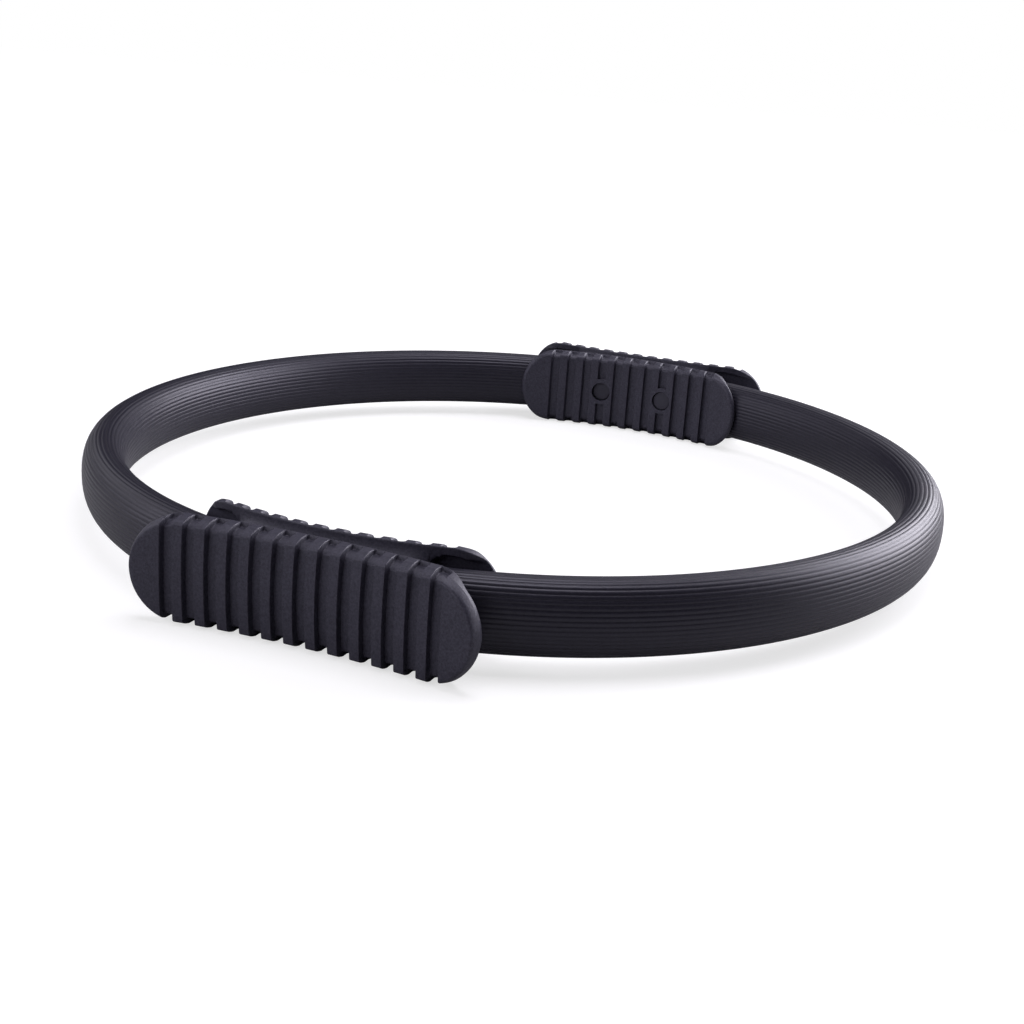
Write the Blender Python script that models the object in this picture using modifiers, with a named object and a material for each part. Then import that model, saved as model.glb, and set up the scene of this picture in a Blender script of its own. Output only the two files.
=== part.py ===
"""A pilates ring: two spring bands in ribbed sleeves, joined by a clamped grip at the front and the rear.

The ring lies flat, its middle on the Z axis. The grips are at -Y (front) and +Y (rear), and rest on Z = 0.
Each grip is an outer and an inner half, drawn here in the rear grip's frame: X along the grip, Y away from
the ring's middle, Z up from the ring's mid-plane. The front grip is the same grip turned half way round.
"""

import math

import bmesh
import bpy
import numpy as np

# Ring
RING_OUTER_RADIUS = 0.178
SLEEVE_DEPTH = 0.0172
SLEEVE_HEIGHT = 0.027
SLEEVE_ROUNDNESS = 2.36  # exponent of the superellipse section: 2 is an ellipse, more is squarer
BAND_THICKNESS = 0.0026
BAND_HEIGHT = 0.020
BAND_END_GAP = 0.0114  # between the ends of the two bands inside a grip

# Pads
PAD_HEIGHT = 0.0377
GROOVE_PITCH = 0.0082
GROOVE_WIDTH = 0.0041
GROOVE_DEPTH = 0.0024
RIM_GROOVE_DEPTH = 0.0014  # how far a groove cuts into the pad's long edges
GROOVE_WALL_RUN = 0.0005  # how far a groove's wall leans from its floor to the rib
OUTER_GROOVES = 13
INNER_GROOVES = 11
EDGE_EXPONENT = 2.2  # of the rounded edge's fall: 1 is a bevel, more is rounder
LOBE_EDGE_SHARE = 0.65  # most of a lobe's thickness that its rounded edge takes

# Outer half
OUTER_LOBE_LENGTH = 0.018  # from the end of the straight edges to the lobe's tip
OUTER_LOBE_START = -0.0032  # where the straight edges end, past the middle of the last groove
OUTER_FACE_STANDOFF = 0.0033  # how far the middle of the outer face stands out from the sleeve's circle
OUTER_DISH = 0.0040  # how much farther out the lobes' tips are
OUTER_CROWN = 0.0016  # bulge of the face from its long edges to its middle
OUTER_RIM_THICKNESS = 0.0082
OUTER_LOBE_THICKNESS = 0.0052
OUTER_EDGE_DROP = 0.0042  # fall of the rounded edge from the face to the crest of the rim
OUTER_EDGE_RUN = 0.0021

# Inner half
INNER_LOBE_LENGTH = 0.0155
INNER_LOBE_START = 0.0010
INNER_FACE_STANDOFF = 0.0032  # how far the inner face stands in from the sleeve
INNER_RIM_THICKNESS = 0.0062
INNER_LOBE_THICKNESS = 0.0027
INNER_EDGE_DROP = 0.0030
INNER_EDGE_RUN = 0.0022

# Core of a grip, between the two pads
SADDLE_WALL = 0.0007  # height of the saddle's floor above the sleeve
COVE_WIDTH = 0.0018
CORE_MARGIN = 0.0005  # from the inner pad's last groove wall to the end of the core
POCKET_HALF_HEIGHT = 0.011
POCKET_FLOOR_WALL = 0.0025
POCKET_SIDE_WALL = 0.0046  # between a pocket and an insert's hole
POCKET_END_WALL = 0.0073  # between a pocket and the end of the core

# Fastenings
SCREW_GROOVE = 2  # the screws sit in the second groove each side of the middle one
SHANK_RADIUS = 0.0025
SHANK_LENGTH = 0.014
HEAD_RADIUS = 0.00425
HEAD_HEIGHT = 0.0035
SOCKET_RADIUS = 0.0017
SOCKET_DEPTH = 0.0020
SEAT_WALL = 0.0032  # material between the screw's seat and the band's slot
INSERT_RADIUS = 0.0042
INSERT_LENGTH = 0.006
CAP_THICKNESS = 0.0018
CAP_CHAMFER = 0.0003
HEAD_CLEARANCE = 0.00055  # round a screw's head
BRIDGE_HALF_HEIGHT = 0.0069  # of the land that closes a groove round a screw
BRIDGE_PROUD = 0.0001
TIP_CLEARANCE = 0.0007

GAP = 0.0003  # between pieces that touch

# Facets
RING_STEPS = 72
SLEEVE_POINTS = 20
ROUND_STEPS = 20
LOBE_STEPS = 7
LOBE_END_ANGLE = 88  # degrees round the quarter ellipse, where the tip is cut square
LOBE_BACK_POINTS = 6  # of a lobe's section, above the mid-plane: as many as the core's section has there
CORE_END_STEP = 0.0001  # half the length over which a pad changes from core to lobe

# Derived sizes
PAD_HALF_HEIGHT = PAD_HEIGHT / 2
BAND_RADIUS = RING_OUTER_RADIUS - SLEEVE_DEPTH / 2
BAND_INNER_RADIUS = BAND_RADIUS - BAND_THICKNESS / 2
BAND_OUTER_RADIUS = BAND_RADIUS + BAND_THICKNESS / 2
SLOT_HALF_HEIGHT = BAND_HEIGHT / 2 + GAP
SLEEVE_INNER_RADIUS = RING_OUTER_RADIUS - SLEEVE_DEPTH
OUTER_FACE = RING_OUTER_RADIUS + OUTER_FACE_STANDOFF
INNER_FACE = SLEEVE_INNER_RADIUS - INNER_FACE_STANDOFF
SADDLE_HALF_HEIGHT = SLEEVE_HEIGHT / 2 + SADDLE_WALL
WALL_SIDE = (GROOVE_WIDTH + GROOVE_WALL_RUN) / 2
WALL_FOOT = (GROOVE_WIDTH - GROOVE_WALL_RUN) / 2
BRIDGE_HALF_WIDTH = WALL_SIDE + BRIDGE_PROUD
CORE_HALF_LENGTH = (INNER_GROOVES - 1) / 2 * GROOVE_PITCH + WALL_SIDE + CORE_MARGIN
SCREW_AT = SCREW_GROOVE * GROOVE_PITCH
SCREW_ANGLE = math.asin(SCREW_AT / INNER_FACE)
RECESS_RADIUS = HEAD_RADIUS + HEAD_CLEARANCE
MIDDLE_POCKET_END = SCREW_AT - INSERT_RADIUS - GAP - POCKET_SIDE_WALL
END_POCKET_START = SCREW_AT + INSERT_RADIUS + GAP + POCKET_SIDE_WALL
END_POCKET_END = CORE_HALF_LENGTH - POCKET_END_WALL
SEAT_RADIUS = BAND_INNER_RADIUS - GAP - SEAT_WALL
HEAD_RADIUS_FROM_MIDDLE = SEAT_RADIUS - GAP - HEAD_HEIGHT
INSERT_START = BAND_OUTER_RADIUS + 2 * GAP
SCREW_TIP = SEAT_RADIUS - GAP + SHANK_LENGTH
CAP_START = HEAD_RADIUS_FROM_MIDDLE - GAP - CAP_THICKNESS


def clear_scene():
    for obj in list(bpy.data.objects):
        bpy.data.objects.remove(obj)


def collection(name):
    made = bpy.data.collections.new(name)
    bpy.context.scene.collection.children.link(made)
    return made


def material(name, colour, roughness, metallic=0.0):
    made = bpy.data.materials.new(name)
    made.use_nodes = True
    shader = made.node_tree.nodes["Principled BSDF"]
    shader.inputs["Base Color"].default_value = (*colour, 1.0)
    shader.inputs["Roughness"].default_value = roughness
    shader.inputs["Metallic"].default_value = metallic
    return made


def empty(name, location, turn, parts):
    made = bpy.data.objects.new(name, None)
    made.empty_display_size = 0.02
    made.location = location
    made.rotation_euler = (0.0, 0.0, turn)
    parts.objects.link(made)
    return made


def add_object(name, mesh, parts, parent=None, rotation=(0.0, 0.0, 0.0)):
    made = bpy.data.objects.new(name, mesh)
    made.rotation_euler = rotation
    made.parent = parent
    parts.objects.link(made)
    return made


def as_cutter(obj):
    obj.hide_render = True
    obj.display_type = "WIRE"
    return obj


def add_cutter(name, mesh, cutters, rotation=(0.0, 0.0, 0.0)):
    return as_cutter(add_object(name, mesh, cutters, rotation=rotation))


def boolean(obj, other, operation="DIFFERENCE"):
    modifier = obj.modifiers.new(f"{operation.lower()}_{other.name}", "BOOLEAN")
    modifier.operation = operation
    modifier.solver = "EXACT"
    modifier.object = other


def baked(obj, name):
    """The object's shape with its modifiers applied, as one mesh with smooth round sides. The object goes."""
    bpy.context.view_layer.update()
    graph = bpy.context.evaluated_depsgraph_get()
    mesh = bpy.data.meshes.new_from_object(obj.evaluated_get(graph))
    mesh.name = name
    bpy.data.objects.remove(obj)
    mesh.shade_smooth()
    mesh.set_sharp_from_angle(angle=math.radians(32))
    return mesh


def mesh_from(bm, name):
    mesh = bpy.data.meshes.new(name)
    bm.to_mesh(mesh)
    bm.free()
    return mesh


def box(name, low, high):
    bm = bmesh.new()
    bmesh.ops.create_cube(bm, size=1.0)
    size = [b - a for a, b in zip(low, high)]
    middle = [(a + b) / 2 for a, b in zip(low, high)]
    bmesh.ops.scale(bm, vec=size, verts=bm.verts)
    bmesh.ops.translate(bm, vec=middle, verts=bm.verts)
    return mesh_from(bm, name)


def cylinder(name, radius, low, high, steps=ROUND_STEPS):
    """A cylinder round Z from low to high."""
    bm = bmesh.new()
    bmesh.ops.create_cone(
        bm, cap_ends=True, segments=steps, radius1=radius, radius2=radius, depth=high - low
    )
    bmesh.ops.translate(bm, vec=(0.0, 0.0, (low + high) / 2), verts=bm.verts)
    return mesh_from(bm, name)


def turned(name, outline, steps, parts, closed):
    """An outline of (radius, height) points turned round Z. It runs down its outer side, top to bottom."""
    bm = bmesh.new()
    verts = [bm.verts.new((radius, 0.0, height)) for radius, height in outline]
    for first, second in zip(verts, verts[1:]):
        bm.edges.new((first, second))
    if closed:
        bm.edges.new((verts[-1], verts[0]))
    obj = add_object(name, mesh_from(bm, name), parts)
    screw = obj.modifiers.new("turn", "SCREW")
    screw.steps = steps
    screw.render_steps = steps
    screw.use_merge_vertices = True
    screw.merge_threshold = 0.00001
    return obj


def rectangular_ring(name, inner, outer, half_height, parts):
    outline = [(inner, half_height), (outer, half_height), (outer, -half_height), (inner, -half_height)]
    return turned(name, outline, RING_STEPS, parts, closed=True)


def ring_side(radius, x):
    """How far from the X axis the side of a full ring with this corner radius is, at a distance x along it."""
    turn = np.arange(RING_STEPS // 4) * 2 * math.pi / RING_STEPS
    return float(np.interp(abs(x), radius * np.sin(turn), radius * np.cos(turn)))


def radial_turn(angle):
    """The rotation that sets an object's Z axis pointing outwards, at this angle from the grip's middle."""
    return (-math.pi / 2, 0.0, -angle)


def loft(name, sections):
    """A closed solid through sections of equal point count, with a flat cap at each end."""
    bm = bmesh.new()
    rows = [[bm.verts.new(point) for point in section] for section in sections]
    count = len(rows[0])
    for row, following in zip(rows, rows[1:]):
        for i in range(count):
            j = (i + 1) % count
            bm.faces.new((row[i], row[j], following[j], following[i]))
    bm.faces.new(rows[0])
    bm.faces.new(rows[-1])
    bmesh.ops.recalc_face_normals(bm, faces=bm.faces)
    bmesh.ops.triangulate(bm, faces=bm.faces)
    return mesh_from(bm, name)


class Pad:
    """One half of a grip: its grooved face, its lobes, and its share of the core between the pads."""

    def __init__(self, outward, grooves, lobe_start, lobe_length, edge_drop, edge_run, rim, lobe):
        self.outward = outward  # 1 on the outer half, -1 on the inner half
        self.grooves = grooves
        self.straight = (grooves - 1) / 2 * GROOVE_PITCH + lobe_start
        self.lobe_length = lobe_length
        self.half_length = self.straight + lobe_length
        self.edge_drop = edge_drop
        self.edge_run = edge_run
        self.rim = rim
        self.lobe = lobe
        self.slot_radius = BAND_RADIUS + outward * (BAND_THICKNESS / 2 + GAP)

    def face(self, x, z):
        """Where the pad's face is, before its edge is rounded."""
        if self.outward > 0:
            along = (x / self.half_length) ** 2
            across = (z / PAD_HALF_HEIGHT) ** 2
            return OUTER_FACE + OUTER_DISH * along - OUTER_CROWN * (1 - along) * across
        return math.sqrt(INNER_FACE**2 - x**2)

    def past_straight(self, x):
        """How far x is along a lobe, as a share of it: 0 on the straight edges, 1 at the tip."""
        return max(abs(x) - self.straight, 0.0) / self.lobe_length

    def outline(self, x):
        """Half the pad's height at x: straight edges, then a quarter ellipse over each lobe."""
        return PAD_HALF_HEIGHT * math.sqrt(max(1 - self.past_straight(x) ** 2, 0.0))

    def edge(self, x, z, in_core):
        """How far the rounded edge falls behind the face at a point of the pad: less on the thin lobes."""
        past = self.past_straight(x)
        inset = (1 - math.hypot(past, z / PAD_HALF_HEIGHT)) * PAD_HALF_HEIGHT
        left = min(max(1 - inset / self.edge_run, 0.0), 1.0)
        fall = self.edge_drop if in_core else min(self.edge_drop, LOBE_EDGE_SHARE * self.lobe)
        return fall * left**EDGE_EXPONENT

    def front(self, x, z, depth, in_core):
        return self.face(x, z) - self.outward * (self.edge(x, z, in_core) + depth)

    def back_points(self, x, half_height, in_core):
        """The back of the section above the mid-plane, from the rim to the band's slot, as (y, z) points."""
        if not in_core:
            shares = np.linspace(1.0, SLOT_HALF_HEIGHT / PAD_HALF_HEIGHT, LOBE_BACK_POINTS)
            heights = [half_height * share for share in shares]
            return [(self.face(x, z) - self.outward * self.lobe, z) for z in heights]
        rim_back = self.face(x, PAD_HALF_HEIGHT) - self.outward * self.rim
        floor_start = rim_back - self.outward * COVE_WIDTH
        drop = PAD_HALF_HEIGHT - SADDLE_HALF_HEIGHT
        points = []
        for share in (1.0, 0.4, 0.0):
            z = SADDLE_HALF_HEIGHT + (half_height - SADDLE_HALF_HEIGHT) * share
            reach = math.sqrt(max(1 - ((PAD_HALF_HEIGHT - z) / drop) ** 2, 0.0))
            points.append((floor_start + self.outward * COVE_WIDTH * reach, z))
        parting = math.sqrt(BAND_RADIUS**2 - x**2) + self.outward * GAP / 2
        slot_side = ring_side(self.slot_radius, x)
        points += [(parting, SADDLE_HALF_HEIGHT), (parting, SLOT_HALF_HEIGHT), (slot_side, SLOT_HALF_HEIGHT)]
        return points

    def section(self, x, depth, in_core):
        """The closed section at x, whose face lies depth below the ribs."""
        half_height = self.outline(x) - depth / GROOVE_DEPTH * RIM_GROOVE_DEPTH
        heights = [half_height * share for share in (0.0, 0.5, 0.86, 0.95, 1.0)]
        top = [(self.front(x, z, depth, in_core), z) for z in heights]
        back = self.back_points(x, half_height, in_core)
        upper = top[1:] + back
        lower = [(y, -z) for y, z in reversed(upper)]
        return [(x, y, z) for y, z in [top[0]] + upper + lower]

    def stations(self):
        """(x, depth, in the core) of each section of the right half, from the middle groove outwards."""
        places = [(0.0, GROOVE_DEPTH)]
        for n in range((self.grooves + 1) // 2):
            middle = n * GROOVE_PITCH
            if n:
                places.append((middle - WALL_SIDE, 0.0))
                places.append((middle - WALL_FOOT, GROOVE_DEPTH))
            places.append((middle + WALL_FOOT, GROOVE_DEPTH))
            places.append((middle + WALL_SIDE, 0.0))
        first = math.asin(max(places[-1][0] - self.straight, 0.0) / self.lobe_length)
        last = math.radians(LOBE_END_ANGLE)
        for n in range(1, LOBE_STEPS + 1):
            angle = first + (last - first) * n / LOBE_STEPS
            places.append((self.straight + self.lobe_length * math.sin(angle), 0.0))
        inside = [(x, depth, True) for x, depth in places if x < CORE_HALF_LENGTH]
        beyond = [(x, depth, False) for x, depth in places if x > CORE_HALF_LENGTH]
        ends = [
            (CORE_HALF_LENGTH - CORE_END_STEP, 0.0, True),
            (CORE_HALF_LENGTH + CORE_END_STEP, 0.0, False),
        ]
        return inside + ends + beyond

    def mesh(self, name):
        right = self.stations()
        left = [(-x, depth, in_core) for x, depth, in_core in reversed(right[1:])]
        return loft(name, [self.section(*place) for place in left + right])


OUTER_PAD = Pad(
    outward=1,
    grooves=OUTER_GROOVES,
    lobe_start=OUTER_LOBE_START,
    lobe_length=OUTER_LOBE_LENGTH,
    edge_drop=OUTER_EDGE_DROP,
    edge_run=OUTER_EDGE_RUN,
    rim=OUTER_RIM_THICKNESS,
    lobe=OUTER_LOBE_THICKNESS,
)
INNER_PAD = Pad(
    outward=-1,
    grooves=INNER_GROOVES,
    lobe_start=INNER_LOBE_START,
    lobe_length=INNER_LOBE_LENGTH,
    edge_drop=INNER_EDGE_DROP,
    edge_run=INNER_EDGE_RUN,
    rim=INNER_RIM_THICKNESS,
    lobe=INNER_LOBE_THICKNESS,
)


def cut_band_slot(obj, name, cutters):
    """The slot that a band lies in, all round."""
    inner = BAND_INNER_RADIUS - GAP
    outer = BAND_OUTER_RADIUS + GAP
    ring = rectangular_ring(f"{name}_band_slot", inner, outer, SLOT_HALF_HEIGHT, cutters)
    boolean(obj, as_cutter(ring))


def cut_pockets(obj, name, low, high, cutters):
    """The hollows that thin the core, between radii low and high: one in the middle, one near each end."""
    end_angle = math.asin((END_POCKET_START + END_POCKET_END) / 2 / BAND_RADIUS)
    end_reach = (END_POCKET_END - END_POCKET_START) / 2
    for side, angle, reach in (
        ("left", -end_angle, end_reach),
        ("middle", 0.0, MIDDLE_POCKET_END),
        ("right", end_angle, end_reach),
    ):
        near = (-reach, -POCKET_HALF_HEIGHT, low)
        mesh = box(f"{name}_{side}_pocket", near, (reach, POCKET_HALF_HEIGHT, high))
        boolean(obj, add_cutter(mesh.name, mesh, cutters, radial_turn(angle)))


def outer_half(parts, cutters):
    pad = add_object("outer_half_shape", OUTER_PAD.mesh("outer_half_shape"), parts)
    pocket_floor = OUTER_FACE - OUTER_CROWN / 2 - GROOVE_DEPTH - POCKET_FLOOR_WALL
    cut_pockets(pad, "outer_half", BAND_INNER_RADIUS, pocket_floor, cutters)
    for side in (-1, 1):
        hole = cylinder("insert_hole", INSERT_RADIUS + GAP, BAND_INNER_RADIUS, SCREW_TIP + TIP_CLEARANCE)
        boolean(pad, add_cutter("insert_hole", hole, cutters, radial_turn(side * SCREW_ANGLE)))
    return baked(pad, "outer_half")


def inner_half(parts, cutters):
    pad = add_object("inner_half_shape", INNER_PAD.mesh("inner_half_shape"), parts)
    for side in (-1, 1):
        turn = radial_turn(side * SCREW_ANGLE)
        near = (-BRIDGE_HALF_WIDTH, -BRIDGE_HALF_HEIGHT, INNER_FACE - BRIDGE_PROUD)
        bridge = box("screw_bridge", near, (BRIDGE_HALF_WIDTH, BRIDGE_HALF_HEIGHT, SEAT_RADIUS))
        boolean(pad, add_cutter("screw_bridge", bridge, cutters, turn), "UNION")
        recess = cylinder("screw_recess", RECESS_RADIUS, INNER_FACE - SLEEVE_DEPTH, SEAT_RADIUS)
        boolean(pad, add_cutter("screw_recess", recess, cutters, turn))
        shank = cylinder("shank_hole", SHANK_RADIUS + GAP, INNER_FACE, BAND_OUTER_RADIUS)
        boolean(pad, add_cutter("shank_hole", shank, cutters, turn))
    pocket_floor = INNER_FACE + GROOVE_DEPTH + POCKET_FLOOR_WALL
    cut_pockets(pad, "inner_half", pocket_floor, BAND_OUTER_RADIUS, cutters)
    return baked(pad, "inner_half")


def sleeve_outline():
    """The sleeve's superellipse section, as (radius, height) points that run down the outer side."""
    turn = -2 * np.pi * np.arange(SLEEVE_POINTS) / SLEEVE_POINTS
    power = 2 / SLEEVE_ROUNDNESS
    across = np.sign(np.cos(turn)) * np.abs(np.cos(turn)) ** power * SLEEVE_DEPTH / 2
    up = np.sign(np.sin(turn)) * np.abs(np.sin(turn)) ** power * SLEEVE_HEIGHT / 2
    return list(zip(BAND_RADIUS + across, up))


def keep_one_side(obj, name, side, start, cutters):
    """Cuts a full ring back to the side where X times side is over start."""
    far = RING_OUTER_RADIUS + SLEEVE_DEPTH
    low, high = sorted((-side * far, side * start))
    mesh = box(f"{name}_side_cut", (low, -far, -SLEEVE_HEIGHT), (high, far, SLEEVE_HEIGHT))
    boolean(obj, add_cutter(mesh.name, mesh, cutters))


def sleeve(name, side, parts, cutters):
    ring = turned(f"{name}_shape", sleeve_outline(), RING_STEPS, parts, closed=True)
    cut_band_slot(ring, name, cutters)
    keep_one_side(ring, name, side, CORE_HALF_LENGTH + CORE_END_STEP + GAP, cutters)
    return baked(ring, name)


def band(name, side, parts, cutters):
    ring = rectangular_ring(f"{name}_shape", BAND_INNER_RADIUS, BAND_OUTER_RADIUS, BAND_HEIGHT / 2, parts)
    keep_one_side(ring, name, side, BAND_END_GAP / 2, cutters)
    for angle in (side * SCREW_ANGLE, math.pi - side * SCREW_ANGLE):
        hole = cylinder("band_hole", SHANK_RADIUS + GAP, SLEEVE_INNER_RADIUS, RING_OUTER_RADIUS)
        boolean(ring, add_cutter("band_hole", hole, cutters, radial_turn(angle)))
    return baked(ring, name)


def clamp_screw(parts, cutters):
    """A socket-head screw whose Z axis runs from the ring's middle out to its tip."""
    seat = SEAT_RADIUS - GAP
    edge = GAP
    outline = [
        (0.0, SCREW_TIP),
        (SHANK_RADIUS - edge, SCREW_TIP),
        (SHANK_RADIUS, SCREW_TIP - edge),
        (SHANK_RADIUS, seat),
        (HEAD_RADIUS, seat),
        (HEAD_RADIUS, seat - HEAD_HEIGHT + edge),
        (HEAD_RADIUS - edge, seat - HEAD_HEIGHT),
        (0.0, seat - HEAD_HEIGHT),
    ]
    screw = turned("clamp_screw_shape", outline, ROUND_STEPS, parts, closed=False)
    start = seat - HEAD_HEIGHT
    socket = cylinder("socket", SOCKET_RADIUS, start - SOCKET_DEPTH, start + SOCKET_DEPTH, steps=6)
    boolean(screw, add_cutter("socket", socket, cutters))
    return baked(screw, "clamp_screw")


def threaded_insert(parts):
    inner = SHANK_RADIUS + GAP
    low, high = INSERT_START, INSERT_START + INSERT_LENGTH
    outline = [(inner, high), (INSERT_RADIUS, high), (INSERT_RADIUS, low), (inner, low)]
    return baked(turned("insert_shape", outline, ROUND_STEPS, parts, closed=True), "threaded_insert")


def screw_cap(parts):
    """The blank disc that closes a screw's recess."""
    radius = RECESS_RADIUS - GAP
    low, high = CAP_START, CAP_START + CAP_THICKNESS
    outline = [
        (0.0, high),
        (radius, high),
        (radius, low + CAP_CHAMFER),
        (radius - CAP_CHAMFER, low),
        (0.0, low),
    ]
    return baked(turned("cap_shape", outline, ROUND_STEPS, parts, closed=False), "screw_cap")


def build():
    clear_scene()
    parts = collection("pilates_ring")
    cutters = collection("cutters")
    sleeve_rubber = material("sleeve_rubber", (0.040, 0.038, 0.048), 0.62)
    grip_rubber = material("grip_rubber", (0.034, 0.033, 0.040), 0.55)
    spring_band = material("spring_band", (0.020, 0.021, 0.022), 0.40)
    screw_steel = material("screw_steel", (0.45, 0.46, 0.48), 0.35, metallic=1.0)
    insert_brass = material("insert_brass", (0.62, 0.45, 0.18), 0.38, metallic=1.0)

    meshes = {
        "outer_half": (outer_half(parts, cutters), grip_rubber),
        "inner_half": (inner_half(parts, cutters), grip_rubber),
        "screw": (clamp_screw(parts, cutters), screw_steel),
        "insert": (threaded_insert(parts), insert_brass),
        "screw_cap": (screw_cap(parts), grip_rubber),
        "left_sleeve": (sleeve("left_sleeve", -1, parts, cutters), sleeve_rubber),
        "right_sleeve": (sleeve("right_sleeve", 1, parts, cutters), sleeve_rubber),
        "left_band": (band("left_band", -1, parts, cutters), spring_band),
        "right_band": (band("right_band", 1, parts, cutters), spring_band),
    }
    for mesh, finish in meshes.values():
        mesh.materials.clear()
        mesh.materials.append(finish)

    middle = (0.0, 0.0, PAD_HALF_HEIGHT)
    for end, turn in (("front", math.pi), ("rear", 0.0)):
        frame = empty(f"{end}_grip_frame", middle, turn, parts)
        for piece in ("outer_half", "inner_half"):
            add_object(f"{end}_grip_{piece}", meshes[piece][0], parts, frame)
        for side, sign in (("left", -1), ("right", 1)):
            local_sign = sign if end == "rear" else -sign
            turned_out = radial_turn(local_sign * SCREW_ANGLE)
            for piece in ("screw", "insert", "screw_cap"):
                add_object(f"{end}_{side}_{piece}", meshes[piece][0], parts, frame, turned_out)
    for side in ("left", "right"):
        frame = empty(f"{side}_side_frame", middle, 0.0, parts)
        for piece in ("band", "sleeve"):
            add_object(f"{side}_{piece}", meshes[f"{side}_{piece}"][0], parts, frame)


build()
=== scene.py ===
"""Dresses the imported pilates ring: ribbed foam sleeves, grooved rubber grips with screw caps, spring bands.

A grip is worked out in the rear grip's frame: x along the grip, y away from the ring's middle, z up from
the ring's mid-plane. The front grip is the same one turned half way round the Z axis.
"""

import math

import bpy
import numpy as np
from mathutils import Matrix, Vector


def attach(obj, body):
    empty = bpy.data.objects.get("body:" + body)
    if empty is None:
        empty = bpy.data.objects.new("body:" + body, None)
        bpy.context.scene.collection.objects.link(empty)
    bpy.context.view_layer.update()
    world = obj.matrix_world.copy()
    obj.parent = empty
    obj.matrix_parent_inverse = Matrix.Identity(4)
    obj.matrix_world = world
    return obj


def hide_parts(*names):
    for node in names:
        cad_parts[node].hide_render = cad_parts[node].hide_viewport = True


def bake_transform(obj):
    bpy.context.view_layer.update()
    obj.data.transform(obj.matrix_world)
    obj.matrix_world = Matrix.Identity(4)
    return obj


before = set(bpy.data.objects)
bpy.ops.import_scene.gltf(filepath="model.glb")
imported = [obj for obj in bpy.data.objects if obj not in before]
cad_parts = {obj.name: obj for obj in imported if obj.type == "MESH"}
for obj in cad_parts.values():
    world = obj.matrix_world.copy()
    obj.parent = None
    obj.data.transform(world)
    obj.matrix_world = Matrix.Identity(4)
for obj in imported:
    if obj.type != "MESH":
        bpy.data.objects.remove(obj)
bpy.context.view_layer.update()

MM = 0.001

# Ring: each section is a superellipse, |x/a|^n + |y/b|^n = 1, where a larger exponent n is squarer
RING_OUTER_RADIUS = 178.0 * MM
SLEEVE_DEPTH = 17.2 * MM
SLEEVE_HEIGHT = 27.0 * MM
SLEEVE_EXPONENT = 2.36
BAND_RADIUS = RING_OUTER_RADIUS - SLEEVE_DEPTH / 2
BAND_THICKNESS = 2.6 * MM
BAND_HEIGHT = 20.0 * MM
BAND_EXPONENT = 5.0
BAND_END = 5.7 * MM  # from the middle of a grip
CHANNEL_GAP = 0.6 * MM  # round the band in its sleeve
CHANNEL_EXPONENT = 8.0

# Sleeve ribs
RIB_COUNT = 42
RIB_HEIGHT = 0.20 * MM
RIB_SHARPNESS = 0.75  # power of a rib's sine: under 1 the valleys are narrow
POINTS_PER_RIB = 8

# Sections along a quarter of the ring, and points round them
SLEEVE_STEPS = 90
BAND_STEPS = 80
BAND_POINTS = 48
OUTLINE_SAMPLES = 4001  # of the outline that the ribs are spaced along

# Pads
PAD_HALF_HEIGHT = 18.85 * MM
INNER_FACE_RADIUS = 157.6 * MM  # of the inner half's face, round the ring's middle
GROOVE_PITCH = 8.2 * MM
GROOVE_HALF_WIDTH = 2.05 * MM
GROOVE_DEPTH = 2.1 * MM  # in the face
RIM_GROOVE_DEPTH = 1.6 * MM  # where the groove runs on over the rim
WALL_HALF_WIDTH = 0.25 * MM  # half the width over which a groove's wall falls on the face
GROOVE_LAND = 0.7 * MM  # between the end of a groove and the back of the rim
GROOVE_END = 1.5 * MM  # length of a groove's rounded end
GROOVE_END_EXPONENT = 4.0  # of the superellipse that rounds the end
EDGE_EXPONENT = 2.2  # of the rounded edge's fall
LOBE_EDGE_SHARE = 0.65  # of a lobe's thickness, which its rounded edge takes at most
LOBE_EDGE_CHANGE = 6.0 * MM  # length over which the rounded edge changes from core to lobe
SADDLE_HALF_HEIGHT = 14.2 * MM  # of the core between the rims
MOUTH_START = 35.5 * MM  # from the middle of a grip to the mouths that the sleeves go into
LIP_LENGTH = 7.0 * MM  # of the saddle's rounded end at a mouth
LIP_FALL = 3.4 * MM  # and how far the saddle falls there
RIM_BACK_HEIGHT = 2.4 * MM  # of the rim's back over a mouth
UNDERCUT_HEIGHT = 1.4 * MM  # over which the rim's back turns into the mouth's wall
MOUTH_ROUNDING = 5.5 * MM  # radius of the mouth's upper corner
TAPER_END = 14.0 * MM  # half height of a lobe's outline where its rim has thinned to the lobe
COVE_WIDTH = 1.8 * MM  # of the hollow rounding from the rim's back to the saddle
RIM_FILLET = 0.45 * MM  # radius of the rim's back edge
CORE_HALF_LENGTH = 43.8 * MM  # with its mouths
CORE_END_STEP = 0.2 * MM  # half the length over which the core's back turns into the mouth's wall
PARTING_GAP = 0.06 * MM  # between a grip's two halves
SLOT_GAP = 0.3 * MM  # round a band in its slot
SLEEVE_GAP = 0.3 * MM  # between the core and a sleeve's end
SLEEVE_START = MOUTH_START + SLEEVE_GAP
LOBE_END_ANGLE = math.radians(89.2)  # round the quarter ellipse, where the tip is cut square

# Points of a pad's section, from the middle of its face round to its back
OUTER_FACE_POINTS = 14
INNER_FACE_POINTS = 24
LAND_EDGE_POINTS = 13
LAND_EDGE_SPREAD = (-3.0, 1.5)  # in half widths of the land's wall, on each side of its radius
EDGE_POINTS = 20
RIM_POINTS = 20
COVE_POINTS = 14

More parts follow.
